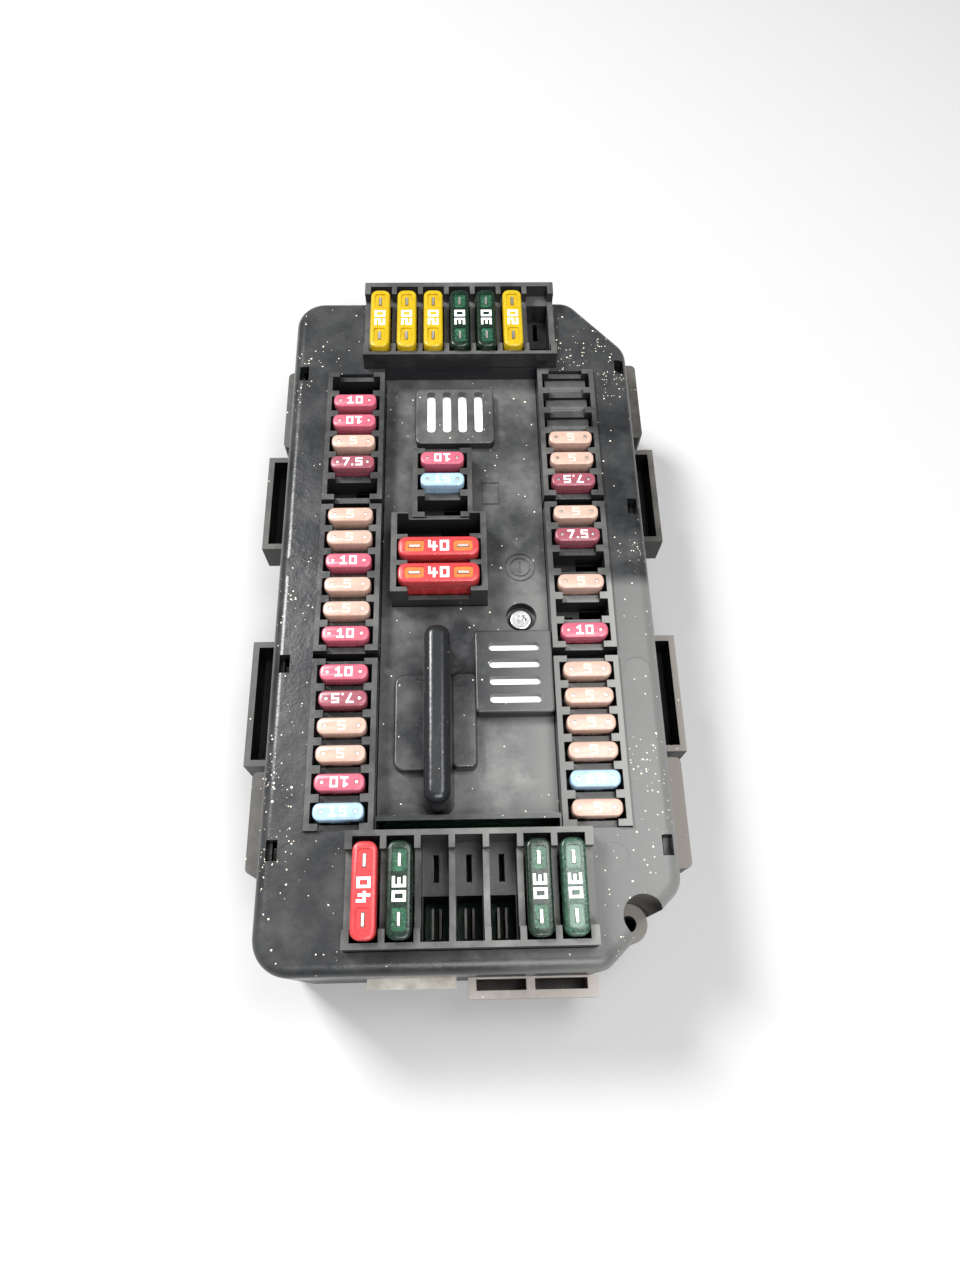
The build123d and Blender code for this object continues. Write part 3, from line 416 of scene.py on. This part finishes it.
# Painted light: the white sheets glow though they are no lamp, so that they look brightly lit
# through the vent slots
sheet_shader = white_sheet.node_tree.nodes["Principled BSDF"]
sheet_shader.inputs["Emission Strength"].default_value = SHEET_PAINTED_GLOW
sheet_shader.inputs["Emission Color"].default_value = (*WHITE, 1)
number_print = plain("number_print", (0.92, 0.92, 0.90), 0.4, 0.95)
faint_prints = {"5": plain("number_print_5", (0.74, 0.56, 0.47), 0.4, 0.95),
                "15": plain("number_print_15", (0.56, 0.71, 0.83), 0.4, 0.95)}
board_green = plain("board_green", (0.03, 0.16, 0.08), 0.4)
relay_black = plain("relay_black", (0.03, 0.03, 0.032), 0.45)
header_black = plain("header_black", (0.035, 0.035, 0.038), 0.5)
tinned = metal("tinned", (0.78, 0.76, 0.72), 0.25, (0.55, 0.52, 0.47))
brass = metal("brass", (0.75, 0.6, 0.32), 0.28, (0.55, 0.42, 0.22))
# Painted shade: the terminals' dark grey stands for the shade in their deep wells, and below
# TERMINAL_SHADE they go near black
terminal_metal = metal("terminal_metal", (0.20, 0.19, 0.18), 0.35, (0.08, 0.075, 0.07),
                       shade=TERMINAL_SHADE)
tab_metal = metal("tab_metal", (0.78, 0.75, 0.68), 0.26, (0.28, 0.25, 0.19), 0.6)
screw_steel = metal("black_steel", grey(0.80), 0.22, grey(0.20), shade=SCREW_SHADE)

NODE_MATERIALS = {
    "upper_housing": deck_plastic,
    "lower_housing": tub_plastic,
    "end_latch_frame": latch_plastic,
    "circuit_board": board_green,
    "board_relays": relay_black,
    "vent_sheets": white_sheet,
    "supply_busbar": tab_metal,
    "deck_screw": screw_steel,
    "fuse_terminals": terminal_metal,
    "connector_headers": header_black,
    "connector_pins": brass,
}
for rack_name in ("left_fuse_rack", "right_fuse_rack", "centre_mini_rack", "centre_blade_rack",
                  "top_blade_rack", "bottom_blade_rack"):
    NODE_MATERIALS[rack_name] = rack_plastic
for node_name, material in NODE_MATERIALS.items():
    mesh = nodes[node_name].data
    mesh.materials.clear()
    mesh.materials.append(material)


# ---- The fuse plastics -----------------------------------------------------------------------
# Each kind: the head's colour and how milky it is, then both for the thin windows round its metal
FUSE_COLOURS = {
    "5": ((0.62, 0.41, 0.33), 0.92, (0.70, 0.50, 0.42), 0.9),
    "7.5": ((0.37, 0.095, 0.13), 0.8, (0.5, 0.18, 0.20), 0.8),
    "10": ((0.67, 0.14, 0.21), 0.8, (0.78, 0.27, 0.32), 0.8),
    "15": ((0.40, 0.58, 0.76), 0.9, (0.50, 0.66, 0.82), 0.9),
    "20": ((0.86, 0.60, 0.012), 0.6, (0.66, 0.42, 0.01), 0.8),
    "30": ((0.008, 0.045, 0.022), 0.35, (0.03, 0.16, 0.08), 0.5),
    "40": ((0.68, 0.062, 0.07), 0.75, (0.92, 0.20, 0.05), 0.9),
    "30_pale": ((0.04, 0.12, 0.075), 0.5, (0.16, 0.30, 0.22), 0.6),
    "40_solid": ((0.68, 0.055, 0.06), 0.9, (0.68, 0.055, 0.06), 0.9),
}
PLASTIC_OF = {"bottom_blade_fuse_01": "40_solid", "bottom_blade_fuse_07": "30_pale"}


def plain_name(rating):
    """A rating as it goes into a name, without its decimal point."""
    return rating.replace(".", "_")


fuse_plastics = {}
window_plastics = {}
for kind, (head_colour, milky, window_colour, window_milky) in FUSE_COLOURS.items():
    label = "fuse_" + plain_name(kind)
    fuse_plastics[kind] = tinted_plastic(label + "_plastic", head_colour, milky)
    window_plastics[kind] = tinted_plastic(label + "_window", window_colour, window_milky)


# ---- Mesh helpers: outlines, spans and levels are in millimetres -----------------------------
BEVEL_STEPS = 3
BEVEL_ABOVE = math.radians(35)
QUADRANTS = ((1, 1), (-1, 1), (-1, -1), (1, -1))


def mesh_object(name, mesh):
    made = bpy.data.objects.new(name, mesh)
    bpy.context.scene.collection.objects.link(made)
    return made


def rounded_outline(length, width, radius, steps):
    """Corner points of a rounded rectangle, with a number of steps round each corner."""
    points = []
    for corner, (sx, sy) in enumerate(QUADRANTS):
        cx = sx * (length / 2 - radius)
        cy = sy * (width / 2 - radius)
        for step in range(steps + 1):
            angle = math.pi / 2 * (corner + step / steps)
            points.append((cx + radius * math.cos(angle), cy + radius * math.sin(angle)))
    return points


def add_prism(solid, outline, low, high):
    """Adds an upright prism to a bmesh."""
    floor = [solid.verts.new((x * MM, y * MM, low * MM)) for x, y in outline]
    roof = [solid.verts.new((x * MM, y * MM, high * MM)) for x, y in outline]
    solid.faces.new(list(reversed(floor)))
    solid.faces.new(roof)
    count = len(outline)
    for index in range(count):
        after = (index + 1) % count
        solid.faces.new((floor[index], floor[after], roof[after], roof[index]))


def finished(name, solid):
    """Turns a bmesh into a mesh."""
    bmesh.ops.recalc_face_normals(solid, faces=solid.faces)
    mesh = bpy.data.meshes.new(name)
    solid.to_mesh(mesh)
    solid.free()
    return mesh


def prism_mesh(name, outline, low, high):
    solid = bmesh.new()
    add_prism(solid, outline, low, high)
    return finished(name, solid)


def worked(name, mesh, bevel=0.0, cuts=(), joins=()):
    """Bevels a mesh, joins other meshes to it, cuts others from it and gives the result."""
    body = mesh_object(name + "_work", mesh)
    helpers = []
    if bevel:
        soft = body.modifiers.new("soft", "BEVEL")
        soft.width = bevel * MM
        soft.segments = BEVEL_STEPS
        soft.limit_method = "ANGLE"
        soft.angle_limit = BEVEL_ABOVE
    for operation, others in (("UNION", joins), ("DIFFERENCE", cuts)):
        for other in others:
            helper = mesh_object(name + "_helper", other)
            helpers.append(helper)
            step = body.modifiers.new(operation, "BOOLEAN")
            step.operation = operation
            step.solver = "EXACT"
            step.object = helper
    bpy.context.view_layer.update()
    graph = bpy.context.evaluated_depsgraph_get()
    result = bpy.data.meshes.new_from_object(body.evaluated_get(graph))
    result.name = name
    for extra in [body] + helpers:
        bpy.data.objects.remove(extra)
    return result


# ---- Fuse patterns: the head's top is at level 0 and the fuse lies along X -------------------
ROUND = 5
COARSE = 2
Block = namedtuple("Block", "length width radius bottom top corner_steps", defaults=(ROUND,))

MINI_HEAD = Block(10.86, 3.74, 1.5, -2.6, 0.0)
MINI_BODY = Block(9.9, 3.2, 0.7, -8.75, -2.4)
MINI_CAVITY = Block(9.3, 1.1, 0.3, -9.5, -1.1)
MINI_TEST_HOLE = Block(0.9, 0.9, 0.44, -1.5, 0.5)
MINI_NOTCH = Block(2.2, 0.8, 0.3, -9.5, -3.6)
MINI_BLADE = Block(2.8, 0.76, 0.2, -15.7, -1.25, COARSE)
MINI_BLADE_TIP = Block(2.2, 0.4, 0.15, -16.25, -15.72, COARSE)
MINI_TEST_POINT = Block(0.74, 0.7, 0.34, -1.2, -0.12)
MINI_LINK = Block(3.2, 0.3, 0.1, -5.2, -4.1, COARSE)
MINI_BEVEL = 0.4
MINI_TEST_X = 3.7
MINI_BLADE_X = 3.06
MINI_NOTCH_X = 3.2
MINI_NOTCH_Y = 1.75

WINDOW_DEPTH = 0.3
BLADE_HEAD = Block(19.04, 5.04, 1.8, -3.6, 0.0)
BLADE_BODY = Block(17.4, 4.3, 1.0, -11.95, -3.4)
BLADE_CAVITY = Block(16.4, 1.3, 0.4, -12.8, -1.1)
BLADE_SLIT = Block(2.9, 0.85, 0.2, -1.6, -0.2, COARSE)
BLADE_WINDOW = Block(4.6, 3.0, 0.7, -WINDOW_DEPTH, 0.5)
BLADE_RIB_GAP = Block(2.3, 0.7, 0.3, -12.5, -4.6)
BLADE_BLADE = Block(5.2, 0.62, 0.2, -17.4, -1.2, COARSE)
BLADE_BLADE_TIP = Block(3.6, 0.36, 0.15, -18.45, -17.42, COARSE)
BLADE_TEST_STRIP = Block(2.6, 0.6, 0.15, -1.15, -0.1, COARSE)
BLADE_BEVEL = 0.5
BLADE_TEST_X = 5.7
BLADE_BLADE_X = 5.45
RIB_GAP_XS = (-5.6, -1.9, 1.9, 5.6)
RIB_GAP_Y = 2.25
# The blade fuse's link is short strips that rise and fall between the blades
LINK_STRIPS = 5
LINK_PITCH = 1.2
LINK_LEVEL = -6.6
LINK_RISE = 1.6
LINK_STRIP = Block(1.1, 0.35, 0.1, -0.6, 0.6, COARSE)


def add_block(solid, block, x=0.0, y=0.0, lift=0.0):
    """Adds a block with rounded corners to a bmesh, moved to a place."""
    outline = rounded_outline(block.length, block.width, block.radius, block.corner_steps)
    placed = [(x + px, y + py) for px, py in outline]
    add_prism(solid, placed, lift + block.bottom, lift + block.top)


def block_mesh(name, block, x=0.0, y=0.0):
    solid = bmesh.new()
    add_block(solid, block, x, y)
    return finished(name, solid)


def mini_patterns():
    """The housing and the metal element of a mini fuse."""
    cuts = [block_mesh("cavity", MINI_CAVITY)]
    for side in (-1, 1):
        cuts.append(block_mesh("hole", MINI_TEST_HOLE, side * MINI_TEST_X))
        for edge in (-1, 1):
            notch = block_mesh("notch", MINI_NOTCH, side * MINI_NOTCH_X, edge * MINI_NOTCH_Y)
            cuts.append(notch)
    head = block_mesh("head", MINI_HEAD)
    housing = worked("mini_housing", head, MINI_BEVEL, cuts, [block_mesh("body", MINI_BODY)])
    solid = bmesh.new()
    for side in (-1, 1):
        add_block(solid, MINI_BLADE, side * MINI_BLADE_X)
        add_block(solid, MINI_BLADE_TIP, side * MINI_BLADE_X)
        # The test point that shows in the head's hole
        add_block(solid, MINI_TEST_POINT, side * MINI_TEST_X)
    add_block(solid, MINI_LINK)
    return housing, finished("mini_element", solid)


def blade_patterns():
    """The housing and the metal element of a full-size blade fuse."""
    cuts = [block_mesh("cavity", BLADE_CAVITY)]
    for side in (-1, 1):
        cuts.append(block_mesh("slit", BLADE_SLIT, side * BLADE_TEST_X))
        cuts.append(block_mesh("window", BLADE_WINDOW, side * BLADE_TEST_X))
        for place in RIB_GAP_XS:
            cuts.append(block_mesh("rib_gap", BLADE_RIB_GAP, place, side * RIB_GAP_Y))
    head = block_mesh("head", BLADE_HEAD)
    housing = worked("blade_housing", head, BLADE_BEVEL, cuts, [block_mesh("body", BLADE_BODY)])
    solid = bmesh.new()
    for side in (-1, 1):
        add_block(solid, BLADE_BLADE, side * BLADE_BLADE_X)
        add_block(solid, BLADE_BLADE_TIP, side * BLADE_BLADE_X)
        # The test strip that shows in the head's slit
        add_block(solid, BLADE_TEST_STRIP, side * BLADE_TEST_X)
    for strip in range(LINK_STRIPS):
        rise = LINK_RISE * math.sin(math.pi * (strip + 0.5) / LINK_STRIPS)
        along = (strip - (LINK_STRIPS - 1) / 2) * LINK_PITCH
        add_block(solid, LINK_STRIP, along, lift=LINK_LEVEL + rise)
    return housing, finished("blade_element", solid)


# ---- Printed numbers -------------------------------------------------------------------------
# Each digit's pen paths in a square that is 1 wide and 1 high
STROKES = {
    "0": [((0, 0), (1, 0), (1, 1), (0, 1), (0, 0))],
    "1": [((0.05, 0.78), (0.5, 1), (0.5, 0)), ((0, 0), (1, 0))],
    "2": [((0, 1), (1, 1), (1, 0.5), (0, 0.5), (0, 0), (1, 0))],
    "3": [((0, 1), (1, 1), (1, 0), (0, 0)), ((0.15, 0.5), (1, 0.5))],
    "4": [((0, 1), (0, 0.4), (1, 0.4)), ((0.7, 0.85), (0.7, 0))],
    "5": [((1, 1), (0, 1), (0, 0.53), (1, 0.53), (1, 0), (0, 0))],
    "7": [((0, 1), (1, 1), (0.35, 0))],
    ".": [((0.5, 0), (0.5, 0.02))],
}
PRINT_ROOT = -0.02
PRINT_HEIGHT = 0.04
# Shares of a number's height, and the stroke's own share of the gap between two letters
DIGIT_WIDTH = 0.56
POINT_WIDTH = 0.05
LETTER_GAP = 0.2
STROKE_GAP = 1.02
# The height of a number and of its stroke
MINI_NUMBER = (2.3, 0.44)
BLADE_NUMBER = (2.8, 0.6)


def bar_corners(start, end, stroke):
    """The four corners of a straight stroke, which reaches past both its ends by half a stroke."""
    along = (end - start).normalized()
    across = Vector((-along.y, along.x)) * stroke / 2
    reach = along * stroke / 2
    corners = (start - reach - across, end + reach - across,
               end + reach + across, start - reach + across)
    return [tuple(corner) for corner in corners]


def number_mesh(text, height, stroke):
    """A raised print of a number, centred on the origin, standing on level 0."""
    bars = []
    gap = STROKE_GAP * stroke + LETTER_GAP * height
    advances = [(POINT_WIDTH if letter == "." else DIGIT_WIDTH) * height for letter in text]
    cursor = -(sum(advances) + gap * (len(text) - 1)) / 2
    for letter, advance in zip(text, advances):
        for path in STROKES[letter]:
            for (x0, y0), (x1, y1) in zip(path, path[1:]):
                start = Vector((cursor + x0 * advance, (y0 - 0.5) * (height - stroke)))
                end = Vector((cursor + x1 * advance, (y1 - 0.5) * (height - stroke)))
                corners = bar_corners(start, end, stroke)
                bars.append(prism_mesh("bar", corners, PRINT_ROOT, PRINT_HEIGHT))
        cursor += advance + gap
    return worked("number_" + plain_name(text), bars[0], joins=bars[1:])


# ---- The meshes that the fuses share ---------------------------------------------------------
SMOOTH_BELOW = math.radians(32)
LEVEL_SLACK = 0.02 * MM
LOOKS_UP = 0.9

mini_housing, mini_element = mini_patterns()
blade_housing, blade_element = blade_patterns()
for element in (mini_element, blade_element):
    element.materials.append(tinned)


def coloured(pattern, kind):
    """A copy of a housing pattern in one kind of plastic."""
    copy = pattern.copy()
    copy.name = pattern.name + "_" + plain_name(kind)
    copy.materials.clear()
    copy.materials.append(fuse_plastics[kind])
    copy.materials.append(window_plastics[kind])
    for face in copy.polygons:
        is_level = abs(face.center.z + WINDOW_DEPTH * MM) < LEVEL_SLACK
        face.material_index = 1 if is_level and face.normal.z > LOOKS_UP else 0
        face.use_smooth = True
    copy.set_sharp_from_angle(angle=SMOOTH_BELOW)
    return copy


housings = {}
numbers = {}
for kind in FUSE_COLOURS:
    housings[kind, False] = coloured(mini_housing, kind)
    housings[kind, True] = coloured(blade_housing, kind)
FUSE_SLOTS = {"5": "fuse_5_tan", "7.5": "fuse_7_brown", "10": "fuse_10_red", "15": "fuse_15_blue",
              "20": "fuse_20_yellow", "30": "fuse_30_green", "40": "fuse_40_orange"}
for rating in FUSE_SLOTS:
    for is_blade, (height, stroke) in ((False, MINI_NUMBER), (True, BLADE_NUMBER)):
        print_mesh = number_mesh(rating, height, stroke)
        print_mesh.materials.clear()
        print_mesh.materials.append(faint_prints.get(rating, number_print))
        numbers[rating, is_blade] = print_mesh


# ---- The fuses in their places ---------------------------------------------------------------
# Ratings from the far end to the near end, or from left to right. None is a place with no fuse.
RATINGS_IN_ROW = {
    "left_fuse_": (None, "10", "10", "5", "7.5", None, "5", "5", "10", "5", "5", "10",
                   "10", "7.5", "5", "5", "10", "15"),
    "right_fuse_": (None, None, None, "5", "5", "7.5", "5", "7.5", None, "5", None, "10",
                    "5", "5", "5", "5", "15", "5"),
    "centre_fuse_": ("10", "15", None),
    "centre_blade_fuse_": (None, "40", "40"),
    "top_blade_fuse_": ("20", "20", "20", "30", "30", "20", None),
    "bottom_blade_fuse_": ("40", "30", None, None, None, "30", "30"),
}
UPSIDE_DOWN = {"left_fuse_03", "left_fuse_14", "left_fuse_17", "right_fuse_06", "centre_fuse_01"}
READS_DOWN = {"bottom_blade_fuse_02", "bottom_blade_fuse_06", "bottom_blade_fuse_07"}
LONGEST_MINI = 15.0 * MM


def number_turn(name, along_x):
    """How far a fuse's number is turned, in degrees."""
    if along_x:
        return 180 if name in UPSIDE_DOWN else 0
    return -90 if name in READS_DOWN else 90


def dress_fuse(name, rating):
    """Stands the detailed housing, element and number in for a CAD fuse."""
    low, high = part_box(name)
    size = high - low
    along_x = size.x > size.y
    is_blade = max(size.x, size.y) > LONGEST_MINI
    middle = (low + high) / 2
    place = Vector((middle.x, middle.y, high.z))
    turn = 0.0 if along_x else math.pi / 2
    body = name + "_body"
    housing = mesh_object(name + "_housing", housings[PLASTIC_OF.get(name, rating), is_blade])
    element = mesh_object(name + "_element", blade_element if is_blade else mini_element)
    for piece in (housing, element):
        piece.location = place
        piece.rotation_euler = (0, 0, turn)
    label = mesh_object(name + "_number", numbers[rating, is_blade])
    label.location = place
    label.rotation_euler = (0, 0, math.radians(number_turn(name, along_x)))
    for piece, slot in ((housing, FUSE_SLOTS[rating]), (element, "tinned_metal"),
                        (label, "white_sheet")):
        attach(piece, body)
    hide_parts(name)


for prefix, ratings in RATINGS_IN_ROW.items():
    for number, rating in enumerate(ratings, 1):
        if rating:
            dress_fuse(prefix + str(number).zfill(2), rating)


# ---- Floor, light and world ------------------------------------------------------------------
# The floor's outline and levels are in millimetres
FLOOR_REACH = 3000.0
FLOOR_BOTTOM = -10.0
FLOOR_TOP = -0.05
FLOOR_SHADE = 0.52
WORLD_STRENGTH = 0.22
# Each light: its place, the point that it faces and its size in metres, and its power in watts
LIGHTS = {
    "key": ((-0.44, 0.36, 0.76), (0, 0, 0), 0.24, 10.5),
    "right_glare": ((0.15, 0.04, 0.60), (0.03, -0.03, 0.03), 0.22, 1.6),
    "near_fill": ((0.12, -0.45, 0.60), (0.02, -0.06, 0.02), 0.35, 4.2),
}


def area_light(name, place, target, size, power):
    """A square soft light that faces a target point."""
    data = bpy.data.lights.new(name, "AREA")
    data.shape = "SQUARE"
    data.size = size
    data.energy = power
    lamp = bpy.data.objects.new(name, data)
    bpy.context.scene.collection.objects.link(lamp)
    lamp.location = place
    lamp.rotation_euler = (Vector(target) - Vector(place)).to_track_quat("-Z", "Y").to_euler()


floor_outline = [(sx * FLOOR_REACH, sy * FLOOR_REACH) for sx, sy in QUADRANTS]
floor = mesh_object("floor", prism_mesh("floor", floor_outline, FLOOR_BOTTOM, FLOOR_TOP))
floor.data.materials.append(plain("floor_white", grey(FLOOR_SHADE), 0.8, 0.99))

for light_name, settings in LIGHTS.items():
    area_light(light_name, *settings)

world = bpy.data.worlds.new("studio")
world.use_nodes = True
background = world.node_tree.nodes["Background"]
background.inputs["Color"].default_value = (*WHITE, 1)
background.inputs["Strength"].default_value = WORLD_STRENGTH
bpy.context.scene.world = world
